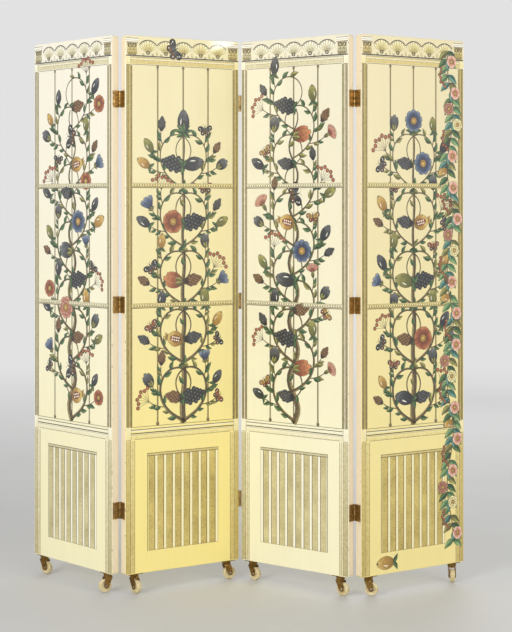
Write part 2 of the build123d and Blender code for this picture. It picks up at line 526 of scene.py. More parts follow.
def scroll(face, base, heading, turn, size, kind, twigs, width):
    """A branch that curls up round its motif, to the left at a turn of 1, with twigs on its outer side."""
    spine = bow(base, heading, 4.7 * size, 6.2 * turn, 40, 1.6)
    stem(face, spine, width, 2.2)
    dress(face, spine[:30], 3, -turn, 0.33 * size)
    turned = headings(spine)
    for (share, length), twig_kind in zip(TWIGS, twigs):
        i = round(share * (len(spine) - 1))
        twig = bow(spine[i], turned[i] - 0.9 * turn, length * size, 0.6 * turn, 8)
        stem(face, twig, 2.6, 1.6)
        dress(face, twig, 2, -turn, 0.28 * size)
        motif(face, twig_kind, twig[-1], turned[i] - 0.4 * turn, dice.uniform(0.5, 0.62) * size)
    motif(face, kind, spine[-1] - step(turned[-1], 0.3 * size), turned[-1], 0.82 * size)


def rules(face, *lines, left=MARGIN, right=None):
    """Level lines, each given as its distance down from the panel's top, its width and its colour."""
    end = face.width - left if right is None else right
    for down, width, colour in lines:
        face.line(colour, (left, face.down(down)), (end, face.down(down)), width)


def uprights(face, bottom, top, *lines):
    """Upright lines, each given as its place across the panel, its width and its colour."""
    for across, width, colour in lines:
        face.line(colour, (across, bottom), (across, top), width)


def both_ends(face, draw):
    """Draws at the left end of a panel and mirrored at the right end."""
    draw()
    kept = face.mirrored_about
    face.mirrored_about = face.width / 2 if kept is None else None
    draw()
    face.mirrored_about = kept


def volute(face, start, heading, turn, length, width):
    spiral = bow(start, heading, length, 6.4 * turn, 16, 1.1)
    face.ribbon("ink", spiral, between(width, 0.6 * width, len(spiral)))
    face.disc("ink", spiral[-1], 1.1 * width, sides=8)


def shell(face, middle):
    """Seven lobes, drawn from the outer ones in, under an arch and over two pairs of volutes."""
    foot = np.array([middle, face.down(SHELL_FOOT)])
    face.lift = LINE_LIFT
    for lobe in (-3, 3, -2, 2, -1, 1, 0):
        turn = math.pi / 2 + lobe * LOBE_ANGLE
        length = LOBE_REACH - 1.4 * abs(lobe) - LOBE_START
        petal(face, "straw", foot + step(turn, LOBE_START), turn, length, LOBE_WIDTH, 0.0, FLARED, veins=1)
    face.raise_paint()
    arch = [foot + step(angle, ARCH_RADIUS) for angle in between(0.22 * math.pi, 0.78 * math.pi, 16)]
    face.ribbon("ink", arch, ARCH_WIDTH)
    for side in (-1, 1):
        volute(face, foot + (2 * side, -4), math.pi / 2 - 1.3 * side, side, 40, 1.6)
        volute(face, foot + (17 * side, -7), math.pi / 2 + 0.5 * side, -side, 22, 1.2)
    heart(face, foot + (0, 2), 2.8, "straw")


def frieze(face):
    """A row of shells, and a bud between each two."""
    def places(count):
        return [face.width / 2 + (i - (count - 1) / 2) * SHELL_PITCH for i in range(count)]

    for middle in places(SHELLS):
        shell(face, middle)
    face.lift = LINE_LIFT
    for middle in places(SHELLS - 1):
        petal(face, "straw", (middle, face.down(66)), math.pi / 2, 13, 7, 0.0, POINTED, (0.2, 0.9), 0)


def capital(face):
    """The head of a pilaster: three rows of leaves on a flared bell, two volutes, and a slab on top."""
    right = MARGIN + CAPITAL_WIDTH
    middle = MARGIN + CAPITAL_WIDTH / 2
    foot, bell_top = face.down(CAPITAL_FOOT), face.down(CAPITAL_SLAB_BOTTOM + 2)
    face.lift = LINE_LIFT
    face.strip("olive", [(middle - 13, foot), (middle - 21, bell_top)],
               [(middle + 13, foot), (middle + 21, bell_top)], (0.2, 0.7))
    for row, (count, height) in enumerate(((2, 38), (3, 27), (4, 16))):
        for i in range(count):
            aside = (i - (count - 1) / 2) * (15 - 2.4 * row)
            start = (middle + 0.8 * aside, foot)
            petal(face, "tan", start, math.pi / 2 - 0.012 * aside, height, 12, 0.0, BODY, (0.0, 0.9), 2)
    face.raise_paint()
    for side in (-1, 1):
        volute(face, (middle + 5 * side, face.down(31)), math.pi / 2 - 0.9 * side, -side, 34, 2.0)
    face.box("pale", MARGIN, face.down(CAPITAL_SLAB_BOTTOM), right, face.down(CAPITAL_TOP), (0.4, 0.9))
    face.raise_paint()
    rules(face, (CAPITAL_TOP, 1.6, "ink"), (17, 1.0, "olive"), (CAPITAL_SLAB_BOTTOM, 1.8, "ink"), right=right)


def architrave(face):
    """The mouldings between the frieze and the field."""
    face.lift = TINT_LIFT
    face.box("tan", MARGIN, face.down(BAND_BOTTOM), face.width - MARGIN, face.down(BAND_TOP), (0.75, 0.95))
    face.lift = LINE_LIFT
    rules(face, (72, 4.2, "ink"), (77, 1.4, "ink"), (84, 2.4, "pale"), (87, 0.9, "olive"))
    rules(face, (FIELD_TOP, 1.6, "ink"), left=PILASTER)
    both_ends(face, lambda: end_block(face, 76, FIELD_TOP + 2, 22))


def end_block(face, top, bottom, right):
    """The block where a moulding crosses a pilaster."""
    face.lift = LINE_LIFT + PAINT_STEP
    face.box("straw", MARGIN, face.down(bottom), right, face.down(top), (0.6, 0.85))
    face.raise_paint()
    rules(face, (bottom, 1.5, "ink"), right=right)
    uprights(face, face.down(bottom), face.down(top), (right, 1.2, "olive"))


def pilaster(face, inner):
    """A slim pilaster beside the field, drawn as upright lines, with the colour of the one inside."""
    top, bottom = face.down(FIELD_TOP + 3), face.down(FIELD_BOTTOM)
    face.lift = TINT_LIFT
    face.box("tan", 5, bottom, PILASTER, top, (0.3, 0.55))
    face.lift = LINE_LIFT
    uprights(face, bottom, top, (5.8, 2.0, "ink"), (11.5, 4.2, "olive"), (16.2, 2.8, inner),
             (20, 1.8, "olive"), (24.5, 2.2, "ink"), (PILASTER, 1.4, "olive"))


def bars(face):
    """Three upright glazing bars, each with a finial at both ends."""
    top, bottom = face.down(FIELD_TOP), face.down(FIELD_BOTTOM)
    for across in BARS:
        face.lift = LINE_LIFT
        face.line("olive", (across, bottom), (across, top), BAR_WIDTH, (0.15, 0.4))
        face.raise_paint()
        uprights(face, bottom, top, (across - 0.8, 1.2, "tan"), (across + 2.2, 1.2, "ink"))
        petal(face, "olive", (across, top), -math.pi / 2, 15, 9, 0.0, POINTED, veins=0)
        petal(face, "olive", (across, bottom), math.pi / 2, 17, 12, 0.0, POINTED, veins=0)


def rail(face, down):
    """A beaded rail across the field."""
    left, right = PILASTER - 1, face.width - PILASTER + 1
    middle = face.down(down + RAIL_HEIGHT / 2)
    face.lift = RAIL_LIFT
    face.box("tan", left, face.down(down + RAIL_HEIGHT), right, face.down(down), (0.7, 1.0))
    face.raise_paint()
    rules(face, (down, 1.0, "olive"), (down + RAIL_HEIGHT, 2.0, "ink"), left=left, right=right)
    beads = round((right - left) / BEAD_PITCH)
    pitch = (right - left) / beads
    for i in range(beads):
        centre = np.array([left + (i + 0.5) * pitch, middle])
        face.disc("ink", centre, 0.43 * pitch, squash=1.15)
        face.raise_paint()
        face.disc("straw", centre + (-0.4, 0.5), 0.34 * pitch, (1.0, 0.3), 1.1)
        face.lift -= PAINT_STEP
        if i:
            uprights(face, middle - 5, middle + 5, (left + i * pitch, 1.2, "olive"))


def dado(face):
    """The sill under the field, the lower pilasters and the louvred panel between them."""
    face.lift = TINT_LIFT
    face.box("straw", MARGIN, face.down(DADO_TOP), face.width - MARGIN, face.down(CAP_BOTTOM), (0.4, 0.7))
    face.lift = LINE_LIFT
    rules(face, (FIELD_BOTTOM, 1.6, "ink"), left=PILASTER)
    rules(face, (CAP_TOP, 2.4, "ink"), (CAP_TOP + 4, 3.0, "pale"), (CAP_BOTTOM, 3.2, "ink"),
          (CAP_BOTTOM + 5, 1.0, "olive"))
    rules(face, (DADO_TOP, 1.6, "olive"), left=DADO_PILASTER)
    both_ends(face, lambda: end_block(face, FIELD_BOTTOM, DADO_TOP + 2, 24))
    both_ends(face, lambda: dado_pilaster(face))
    louvres(face)


def dado_pilaster(face):
    top = face.down(DADO_TOP + 5)
    face.lift = TINT_LIFT
    face.box("tan", MARGIN, MARGIN, DADO_STEP, top, (0.45, 0.75))
    face.box("straw", DADO_STEP, MARGIN, DADO_PILASTER, top, (0.15, 0.45))
    face.lift = LINE_LIFT
    uprights(face, MARGIN, top, (MARGIN + 0.5, 1.2, "olive"), (13, 1.2, "tan"), (DADO_STEP, 1.8, "olive"),
             (31, 1.0, "olive"), (DADO_PILASTER, 1.8, "olive"))


def louvres(face):
    """Upright louvres in a frame, with a lit gap after each."""
    pitch = (LOUVRE_RIGHT - LOUVRE_LEFT - LOUVRE_FRAME) / LOUVRES
    face.lift = TINT_LIFT
    face.box("tan", LOUVRE_LEFT, LOUVRE_HEAD, LOUVRE_RIGHT, LOUVRE_TOP, 0.7)
    for i in range(LOUVRES):
        left = LOUVRE_LEFT + LOUVRE_FRAME + i * pitch
        right = left + pitch - LOUVRE_GAP
        gap = right + LOUVRE_GAP / 2 + 0.6
        face.lift = TINT_LIFT
        face.box("stipple", left, LOUVRE_BOTTOM, right, LOUVRE_HEAD, (0.3, 0.6))
        face.lift = LINE_LIFT
        for across, colour, width, tone in ((left, "olive", 1.2, 0.5), (right, "olive", 2.6, 0.2),
                                            (gap, "straw", 0.7 * LOUVRE_GAP, 1.0)):
            face.line(colour, (across, LOUVRE_BOTTOM), (across, LOUVRE_HEAD), width, tone)
    face.lift = LINE_LIFT + PAINT_STEP
    for height, width, colour in ((LOUVRE_TOP, 1.8, "ink"), (LOUVRE_HEAD, 2.0, "ink"),
                                  (LOUVRE_BOTTOM, 1.2, "olive")):
        face.line(colour, (LOUVRE_LEFT - 2, height), (LOUVRE_RIGHT + 2, height), width)
    uprights(face, LOUVRE_BOTTOM, LOUVRE_TOP, (LOUVRE_LEFT, 2.2, "ink"), (LOUVRE_RIGHT, 1.2, "olive"))


def branches(face, kinds, twig_kinds, bases, sway, reach):
    """A stem up the middle of the field, and a scroll from each base, given as its rise and its side."""
    foot = face.down(FIELD_BOTTOM - 2)
    middle = face.width / 2
    top = foot + SCROLL_RISE * (bases[-1][0] + reach)
    heights = between(foot, top, 60)
    places = np.array([(middle - sway * math.sin(math.pi * (y - foot) / SCROLL_RISE), y) for y in heights])
    stem(face, places, TRUNK_WIDTH, 3)
    dress(face, places, 4, 1, 30)
    for k, (rise, side) in enumerate(bases):
        base = np.array([middle - 0.4 * sway * side, foot + SCROLL_RISE * rise + 8])
        twigs = [twig_kinds[(3 * k + i) % len(twig_kinds)] for i in range(len(TWIGS))]
        width = TRUNK_WIDTH * (0.5 - 0.32 * rise / bases[-1][0])
        scroll(face, base, math.pi / 2 - 1.15 * side, side, SCROLL_SIZE, kinds[k % len(kinds)], twigs, width)
    return places[-1]


def rinceau(face, kinds, twig_kinds):
    """A waving stem that climbs the field, with a scroll in each of its bends."""
    branches(face, kinds, twig_kinds, [(k, (-1) ** k) for k in range(SCROLLS)], 20, 0.8)


def candelabrum(face, kinds, twig_kinds):
    """An upright stem with a pair of scrolls at each of its knots, and a finial under an open top."""
    bases = [(2 * k, side) for k in range(KNOTS) for side in (1, -1)]
    tip = branches(face, kinds, twig_kinds, bases, 4, 2.0)
    face.lift = LEAF_LIFT
    leaves_round(face, tip, math.pi / 2, 36, 5, 0.6)
    motif(face, kinds[-1], tip, math.pi / 2, 0.8 * SCROLL_SIZE)


def garland(face):
    """Paired leaves down the whole edge of a panel, with blossoms to the left and right in turn."""
    kinds = "blush berries blush peony cream_rose berries blush pear".split()
    heights = np.arange(face.down(GARLAND_TOP_GAP), GARLAND_FOOT_GAP, -GARLAND_PITCH)
    spine = np.array([(GARLAND_MIDDLE + GARLAND_SWAY * math.sin(y / GARLAND_WAVE), y) for y in heights])
    face.lift = GARLAND_LIFT
    face.ribbon("bark", spine, 3.4)
    for i, place in enumerate(spine):
        face.lift = GARLAND_LIFT
        for side in (-1, 1):
            if (3 * i + side) % 7:
                colour = ("fern", "green", "teal", "fern", "moss")[(2 * i + side) % 5]
                leaf(face, place, -math.pi / 2 + 1.2 * side, 50, -0.5 * side, colour)
        if i % 4 == 1:
            leaf(face, place, -math.pi / 2, 40, 0.3, "teal")
    for i in range(1, len(spine), 2):
        side = 1 if i % 4 == 1 else -1
        kind = kinds[(i // 2) % len(kinds)]
        motif(face, kind, spine[i], -math.pi / 2 + 1.3 * side, 45, GARLAND_LIFT + 3 * PAINT_STEP)


def plain_back(face):
    """Two fillets round a plain back."""
    for inset, width, colour in ((22, 2.4, "olive"), (27, 1.0, "ink")):
        right, top = face.width - inset, face.height - inset
        corners = [(inset, inset), (right, inset), (right, top), (inset, top)]
        for i, corner in enumerate(corners):
            face.line(colour, corner, corners[(i + 1) % 4], width)
            face.disc(colour, np.array(corner), width / 2)


def linear(red, green, blue):
    """A colour as it is seen, each part from 0 to 255, in the renderer's own scale."""
    seen = [part / 255 for part in (red, green, blue)]
    return [c / 12.92 if c <= 0.04045 else ((c + 0.055) / 1.055) ** 2.4 for c in seen] + [1.0]


class Nodes:
    """A tree of shader nodes. Colours are given as they are seen, each part from 0 to 255."""

    def __init__(self, tree):
        self.nodes = tree.nodes
        self.link = tree.links.new

    def put(self, socket, value):
        """Sets a socket to a number, a vector or a colour, or links it to another socket."""
        if isinstance(value, tuple):
            socket.default_value = linear(*value) if socket.type == "RGBA" else value
        elif isinstance(value, (int, float)):
            socket.default_value = value
        else:
            self.link(value, socket)

    def node(self, kind, inputs, output=0, **settings):
        """Adds a node with its inputs and settings, and gives back one of its outputs."""
        node = self.nodes.new(f"ShaderNode{kind}")
        for setting, value in settings.items():
            setattr(node, setting, value)
        for socket, value in inputs.items():
            self.put(node.inputs[socket], value)
        return node.outputs[output]


class Finish(Nodes):
    """A material made of nodes, with short calls for the nodes used most."""

    def __init__(self, name, **sockets):
        self.material = bpy.data.materials.new(name)
        self.material.use_nodes = True
        super().__init__(self.material.node_tree)
        self.shader = self.nodes["Principled BSDF"]
        for socket, value in sockets.items():
            self.put(self.shader.inputs[socket.replace("_", " ")], value)
        self.place = self.node("TexCoord", {}, "Object")

    def noise(self, scale, detail, stretch=(1, 1, 1)):
        place = self.node("Mapping", {"Vector": self.place, "Scale": stretch})
        inputs = {"Vector": place, "Scale": scale, "Detail": detail, "Roughness": 0.55}
        return self.node("TexNoise", inputs, "Fac")

    def sum(self, *terms):
        """Adds up sockets and numbers. A term may be a pair, a socket and what it is multiplied by."""
        total = None
        for term in terms:
            if isinstance(term, tuple):
                term = self.math("MULTIPLY", *term)
            total = term if total is None else self.math("ADD", total, term)
        return total

    def math(self, operation, *values):
        return self.node("Math", dict(enumerate(values)), operation=operation)

    def ramp(self, value, *stops):
        """A colour for each share of the value's range, given as (share, colour)."""
        node = self.nodes.new("ShaderNodeValToRGB")
        elements = node.color_ramp.elements
        while len(elements) < len(stops):
            elements.new(0.5)
        for element, (share, colour) in zip(elements, stops):
            element.position = share
            element.color = linear(*colour)
        self.link(value, node.inputs["Fac"])
        return node.outputs["Color"]

    def span(self, value, low, high, first=0.0, last=1.0):
        """Goes smoothly from the first number to the last, as the value goes from low to high."""
        inputs = {"Value": value, "From Min": low, "From Max": high, "To Min": first, "To Max": last}
        return self.node("MapRange", inputs, "Result", interpolation_type="SMOOTHSTEP")

    def mix(self, share, first, second):
        return self.node("Mix", {0: share, 6: first, 7: second}, 2, data_type="RGBA")

    def along(self, direction, origin):
        """How far a place is from the origin in one direction."""
        move = self.node("VectorMath", {0: self.place, 1: tuple(origin)}, "Vector", operation="SUBTRACT")
        return self.node("VectorMath", {0: move, 1: tuple(direction)}, "Value", operation="DOT_PRODUCT")

    def colour(self, socket):
        self.link(socket, self.shader.inputs["Base Color"])

    def rough(self, value, low, high):
        self.link(self.span(value, 0.3, 0.7, low, high), self.shader.inputs["Roughness"])

    def bump(self, height, distance):
        """Relief of a real height, in metres."""
        inputs = {"Height": height, "Distance": distance, "Strength": 1.0}
        self.link(self.node("Bump", inputs, "Normal"), self.shader.inputs["Normal"])


LACQUER = {"Coat_Weight": 0.7, "Coat_Roughness": 0.06, "Coat_IOR": 1.5}


def artist_paint(name, dark, middle, light):
    """Paint in a stroke's own tone, mottled by the brush, under the panel's lacquer."""
    finish = Finish(name, **LACQUER)
    tone = finish.nodes.new("ShaderNodeAttribute")
    tone.attribute_name = "tone"
    mottle = finish.noise(90, 4)
    grain = finish.noise(800, 2, (1, 1, 0.35))
    shade = finish.sum(tone.outputs["Fac"], (mottle, 0.7), (grain, 0.5), -0.6)
    finish.colour(finish.ramp(shade, (0.0, dark), (0.5, middle), (1.0, light)))
    finish.rough(grain, 0.34, 0.5)
    finish.bump(mottle, 0.00004)
    return finish.material


def stipple_paint(name, dark, light):
    """Fine dots of paint in level rows, as if woven."""
    finish = Finish(name, **LACQUER)
    rows = finish.noise(420, 2, (0.6, 0.6, 1.6))
    dots = finish.noise(1100, 1)
    cloud = finish.noise(14, 3)
    shade = finish.sum((rows, 0.9), (dots, 0.8), (cloud, 0.5), -0.6)
    finish.colour(finish.ramp(shade, (0.25, dark), (0.75, light)))
    finish.rough(rows, 0.36, 0.5)
    finish.bump(rows, 0.00003)
    return finish.material


def panel_paint(panel, upper, lower):
    """Cream ground under lacquer: warmer towards the floor as painted light, with chipped arrises and pale
    edge faces.
    """
    finish = Finish(f"cream_{panel.number}", **LACQUER)
    along, up, out = panel.axes
    half_width = MM * panel.width / 2
    half_depth = MM * panel.thickness / 2
    height = finish.along(up, panel.origin)
    across = finish.math("ABSOLUTE", finish.along(along, panel.origin + half_width * along))
    depth = finish.math("ABSOLUTE", finish.along(out, panel.origin - half_depth * out))
    cloud = finish.noise(3.2, 4)
    brush = finish.noise(60, 4, (1, 1, 0.05))
    # Painted light: the ground goes from its top colour to its warmer foot colour towards the floor
    painted_foot_light = finish.span(finish.sum(height, (cloud, 0.5), -0.25), 0.15, 1.7, 1.0, 0.0)
    ground = finish.mix(painted_foot_light, upper, lower)
    streaks = finish.span(finish.sum((brush, 0.7), (cloud, 0.3)), 0.35, 0.65, 0.0, 0.1)
    brushed = finish.mix(streaks, ground, tuple(0.9 * part for part in lower))
    edge = finish.span(across, half_width - 0.0012, half_width - 0.0002)
    edged = finish.mix(edge, brushed, RIM)
    arris = finish.math("MULTIPLY", *(finish.span(place, half - 0.003, half - 0.0006)
                                      for place, half in ((across, half_width), (depth, half_depth))))
    bare = finish.span(finish.sum(finish.noise(110, 5), (arris, 0.16)), 0.74, 0.8)
    finish.colour(finish.mix(bare, edged, WORN))
    finish.rough(brush, 0.3, 0.42)
    finish.bump(finish.sum(brush, (cloud, 4)), 0.00005)
    return finish.material


def aged_metal(name, dark, light, low, high):
    """Metal with tarnish in clouds and specks, duller where it is dark."""
    finish = Finish(name, Metallic=1.0)
    tarnish = finish.noise(120, 5)
    specks = finish.noise(900, 3)
    shade = finish.sum((tarnish, 0.8), (specks, 0.4), -0.1)
    finish.colour(finish.ramp(shade, (0.3, dark), (0.65, light)))
    finish.rough(tarnish, high, low)
    finish.bump(specks, 0.00005)
    return finish.material


def ivory_plastic(name):
    """Yellowed wheels, mottled in clouds and specks."""
    finish = Finish(name, Coat_Weight=0.2, Coat_Roughness=0.25)
    cloud = finish.noise(55, 4)
    specks = finish.noise(500, 3)
    shade = finish.sum((cloud, 0.8), (specks, 0.3))
    finish.colour(finish.ramp(shade, (0.3, (178, 156, 104)), (0.5, (214, 196, 146)), (0.75, (234, 220, 178))))
    finish.rough(cloud, 0.3, 0.5)
    finish.bump(specks, 0.00006)
    return finish.material


# Sizes of the hinges and castors, in millimetres, as in the part's source
HINGE_INSET = 228.0
HINGE_LEAF = (27.0, 1.8)
PLATE_THICKNESS = 2.5
FORK_HALF_WIDTH = 13.0
CUP_MOUTH = 14.5

# The screws' places on a leaf and on a plate, a hinge screw's radius and layers, the lowest a dark ring of
# painted shadow round its head, and the cup's bead
SCREW_PLACES = ((-4.5, 20.0), (4.0, 0.0), (-4.5, -20.0))
PLATE_SCREWS = (23.5, 8.5)
SCREW_RADIUS = 2.8
SHADOW_RING_LIFT = 0.03
HEAD_LIFT = 0.07
CHEEK_LIFT = 0.14
BEAD_RADIUS = 0.8


def turned(name, profile, centre, axis, material, body, slot, sides):
    """A ring or knob turned about an axis, from a closed profile of radii and heights."""
    axis = np.array(axis, float) / np.linalg.norm(axis)
    across = np.cross(axis, (0.3, 0.5, 0.81))
    across /= np.linalg.norm(across)
    other = np.cross(axis, across)
    angles = between(0, 2 * math.pi, sides + 1)[:-1, None, None]
    radii, heights = np.array(profile, float).T[:, None, :, None]
    places = centre + MM * (radii * (np.cos(angles) * across + np.sin(angles) * other) + heights * axis)
    count = len(profile)
    faces = []
    for i in range(sides):
        for j in range(count):
            here, there = i * count, (i + 1) % sides * count
            after = (j + 1) % count
            faces.append((here + j, here + after, there + after, there + j))
    mesh = bpy.data.meshes.new(name)
    mesh.from_pydata(places.reshape(-1, 3).tolist(), [], faces)
    joined = bmesh.new()
    joined.from_mesh(mesh)
    bmesh.ops.remove_doubles(joined, verts=joined.verts, dist=1e-6)
    bmesh.ops.dissolve_degenerate(joined, edges=joined.edges, dist=1e-6)
    bmesh.ops.recalc_face_normals(joined, faces=joined.faces)
    joined.to_mesh(mesh)
    joined.free()
    mesh.shade_smooth()
    mesh.set_sharp_from_angle(angle=math.radians(38))
    mesh.materials.append(material)
    return add_piece(name, mesh, body)


def joint(name):
    return next(entry for entry in frame["joints"] if entry["name"] == name)


def hinge_screws(panel, fold, side, paints):
    """Slotted heads, three to a hinge leaf, a hair proud of it."""
    pin = np.array(joint(f"fold_{fold}")["pos_m"])
    along, up, out = panel.axes
    edge = {"left": 1, "right": -1}[side]
    middle = panel.at((panel.width / 2, panel.height / 2, -panel.thickness / 2))
    pin_side = np.sign((pin - middle) @ out)
    aside = pin_side * (panel.thickness - HINGE_LEAF[0]) / 2
    level = np.cross(up, edge * along)
    outward = pin_side * np.sign(level @ out)
    for number, height in enumerate((HINGE_INSET, panel.height / 2, panel.height - HINGE_INSET)):
        start = (edge * (panel.width / 2 + HINGE_LEAF[1]), height - panel.height / 2, aside)
        face = Face(middle + MM * np.array(start) @ panel.axes, level, up)
        for across, rise in SCREW_PLACES:
            slotted_head(face, np.array([outward * across, rise]), 0.4 + number + rise)
        face.pieces(f"fold_{fold}_{side}_hinge_{number + 1}", f"panel_{panel.number}", "hinge_brass", paints)


def slotted_head(face, centre, turn):
    """A disc in a dark ring of painted shadow where it sits in its countersink, with the cheeks on both sides
    of its slot a little higher.
    """
    face.lift = SHADOW_RING_LIFT
    face.disc("countersink_shadow", centre, SCREW_RADIUS + 0.7, sides=20)
    face.lift = HEAD_LIFT
    face.disc("screw", centre, SCREW_RADIUS, (0.3, 0.3), sides=20)
    face.lift = CHEEK_LIFT
    for heading in (turn, turn + math.pi):
        angles = between(-0.42 * math.pi, 0.42 * math.pi, 8)
        arc = np.array([centre + step(heading + angle, SCREW_RADIUS) for angle in angles])
        chord = centre + step(heading, 0.22 * SCREW_RADIUS)
        ahead = step(heading + math.pi / 2)
        flat = np.array([chord + ahead * ((place - chord) @ ahead) for place in arc])
        face.strip("screw", flat, arc, 0.7)


def castor(panel, side, paints):
    """The dressed wheel, the axle's heads, the bead round the cup and the plate's screws."""
    name = f"castor_{panel.number}_{side}"
    body = f"panel_{panel.number}"
    spin = np.array(joint(f"{name}_spin")["axis"])
    low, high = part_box(f"{name}_wheel")
    hub = np.array((low + high) / 2)
    radius = (high.z - low.z) / 2 / MM
    rim = [(3.3, -9.3), (6.6, -9.3), (7.6, -8.7), (8.2, -6.3), (16.4, -5.6), (17.0, -7.9), (18.0, -8.5),
           (radius - 3.4, -8.3), (radius - 1.4, -7.0), (radius - 0.3, -4.4), (radius, -1.6)]
    profile = rim + [(r, -h) for r, h in reversed(rim)]
    wheel = turned(f"{name}_tyre", profile, hub, spin, paints["ivory"], f"{name}_roller", "cream_wheel", 56)
    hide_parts(f"{name}_wheel")
    head = [(0, -0.2), (4.8, -0.2), (4.8, 0.5), (4.0, 1.3), (2.2, 1.8), (0, 2.0)]
    head = [(r, FORK_HALF_WIDTH + h) for r, h in head]
    for end, turn in (("near", 1), ("far", -1)):
        turned(f"{name}_{end}_axle_head", head, hub, turn * spin, paints["steel"], f"{name}_swivel",
               "steel_rivet", 24)
    plate_low, plate_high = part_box(f"{name}_plate")
    kingpin_low, kingpin_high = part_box(f"{name}_kingpin")
    pivot = np.array((kingpin_low + kingpin_high) / 2)
    pivot[2] = plate_low.z
    bead = [(CUP_MOUTH + 0.5 + BEAD_RADIUS * math.cos(a), BEAD_RADIUS * (1 + math.sin(a)))
            for a in between(0, 5.5, 8)]
    turned(f"{name}_cup_bead", bead, pivot, (0, 0, 1), paints["castor_brass"], body, "castor_brass", 40)
    dome = [(0, 0.3), (3.2, 0.3), (3.1, -0.2), (2.4, -0.9), (1.2, -1.25), (0, -1.3)]
    along, _, out = panel.axes
    for i, (a, b) in enumerate(((-1, -1), (1, -1), (1, 1), (-1, 1))):
        place = pivot + MM * (a * PLATE_SCREWS[0] * along + b * PLATE_SCREWS[1] * out)
        place[2] = plate_high.z - MM * PLATE_THICKNESS
        turned(f"{name}_plate_screw_{i + 1}", dome, place, (0, 0, 1), paints["steel"], body,
               "steel_rivet", 20)


def dress_node(name, material):
    """Gives a CAD node its finish, in every material slot."""
    for slot in frame["nodes"][name].material_slots:
        slot.material = material


# The plant of each panel, what its scrolls bear and what its twigs bear. The names are keys of MOTIFS.
PLANTS = {
    1: (rinceau, "pomegranate dark_butterfly cone peony grapes dusk_tulip daisy dark_cone",
        "briar plum berries dark_butterfly bellflower cone quince dusk_tulip pear plum"),
    2: (candelabrum, "grapes cone dark_cone pomegranate cone tulip grapes briar plum",
        "butterfly plum bellflower berries dusk_tulip cone dark_butterfly pear quince dark_cone"),
    3: (rinceau, "dark_cone tulip grapes cone plum daisy pomegranate dark_butterfly",
        "plum yellow_butterfly dusk_tulip carnation cone quince berries dark_cone"),
    4: (candelabrum, "dark_cone plum briar cone grapes quince pomegranate dark_cone daisy",
        "dark_butterfly berries dusk_tulip cone pear butterfly bellflower plum quince"),
}

# The ground of each panel at its top and at its foot, its edge faces, and the wood under the paint. The
# warmer foot is painted light, and the differences between the panels are partly painted light, for how light
# falls on each, and partly yellowed lacquer.
CREAM = {
    1: ((245, 239, 219), (250, 242, 196)),
    2: ((239, 228, 182), (254, 236, 148)),
    3: ((239, 231, 203), (250, 244, 206)),
    4: ((239, 226, 182), (251, 234, 156)),
}
RIM = (236, 221, 190)
WORN = (150, 118, 78)

# The paints, each from dark to light, with the odd panels' own and the more golden ones of the even panels,
# whose extra gold is partly painted light and partly yellowed lacquer
PAINTS = {
    "ink": ((22, 20, 16), (46, 42, 30), (92, 84, 58)),
    "olive": ((70, 58, 32), (124, 106, 64), (186, 172, 118)),
    "bark": ((40, 30, 16), (92, 74, 42), (156, 136, 86)),
    "brown": ((44, 28, 16), (104, 70, 40), (184, 140, 88)),
    "green": ((18, 46, 28), (44, 86, 46), (112, 144, 78)),
    "fern": ((30, 74, 46), (86, 136, 84), (168, 196, 132)),
    "teal": ((16, 62, 60), (52, 116, 104), (132, 178, 152)),
    "moss": ((56, 60, 26), (112, 112, 50), (184, 176, 98)),
    "rust": ((80, 34, 20), (148, 76, 42), (210, 142, 90)),
    "ochre": ((116, 80, 30), (180, 138, 58), (230, 202, 120)),
    "salmon": ((112, 50, 40), (172, 98, 78), (228, 178, 150)),
    "blush": ((178, 84, 66), (232, 172, 146), (252, 230, 208)),
    "blue": ((24, 34, 54), (58, 76, 108), (142, 156, 172)),
    "slate": ((14, 15, 18), (44, 46, 50), (118, 120, 120)),
    "pale": ((206, 196, 160), (248, 242, 220), (254, 252, 242)),
}
ODD_PAINTS = {
    "tan": ((144, 132, 88), (192, 180, 132), (230, 222, 184)),
    "straw": ((206, 192, 140), (242, 234, 196), (252, 248, 228)),
    "stipple": ((156, 140, 86), (238, 228, 174)),
}
EVEN_GOLDEN_LIGHT_PAINTS = {
    "tan": ((150, 130, 58), (200, 178, 98), (232, 214, 144)),
    "straw": ((206, 180, 96), (240, 224, 150), (252, 244, 200)),
    "stipple": ((146, 122, 46), (240, 218, 128)),
}


def panel_paints(number):
    paints = {}
    for name, shades in {**PAINTS, **(ODD_PAINTS if number % 2 else EVEN_GOLDEN_LIGHT_PAINTS)}.items():
        make = stipple_paint if name == "stipple" else artist_paint
        paints[name] = make(f"{name}_{number}", *shades)
    return paints


metals = {
    "hinge_brass": aged_metal("hinge_brass_aged", (80, 62, 36), (198, 164, 106), 0.3, 0.55),
    "castor_brass": aged_metal("castor_brass_aged", (70, 48, 22), (164, 128, 70), 0.25, 0.45),
    "steel": aged_metal("steel_worn", (96, 88, 74), (176, 168, 150), 0.25, 0.45),
    "screw": aged_metal("screw_brass", (120, 96, 56), (206, 178, 120), 0.25, 0.4),
    # A flat dark ring of painted shadow round each screw head, standing in for the countersink's shade
    "countersink_shadow": aged_metal("screw_countersink_shadow", (16, 12, 8), (44, 34, 22), 0.5, 0.7),
    "ivory": ivory_plastic("ivory_wheel"),
}

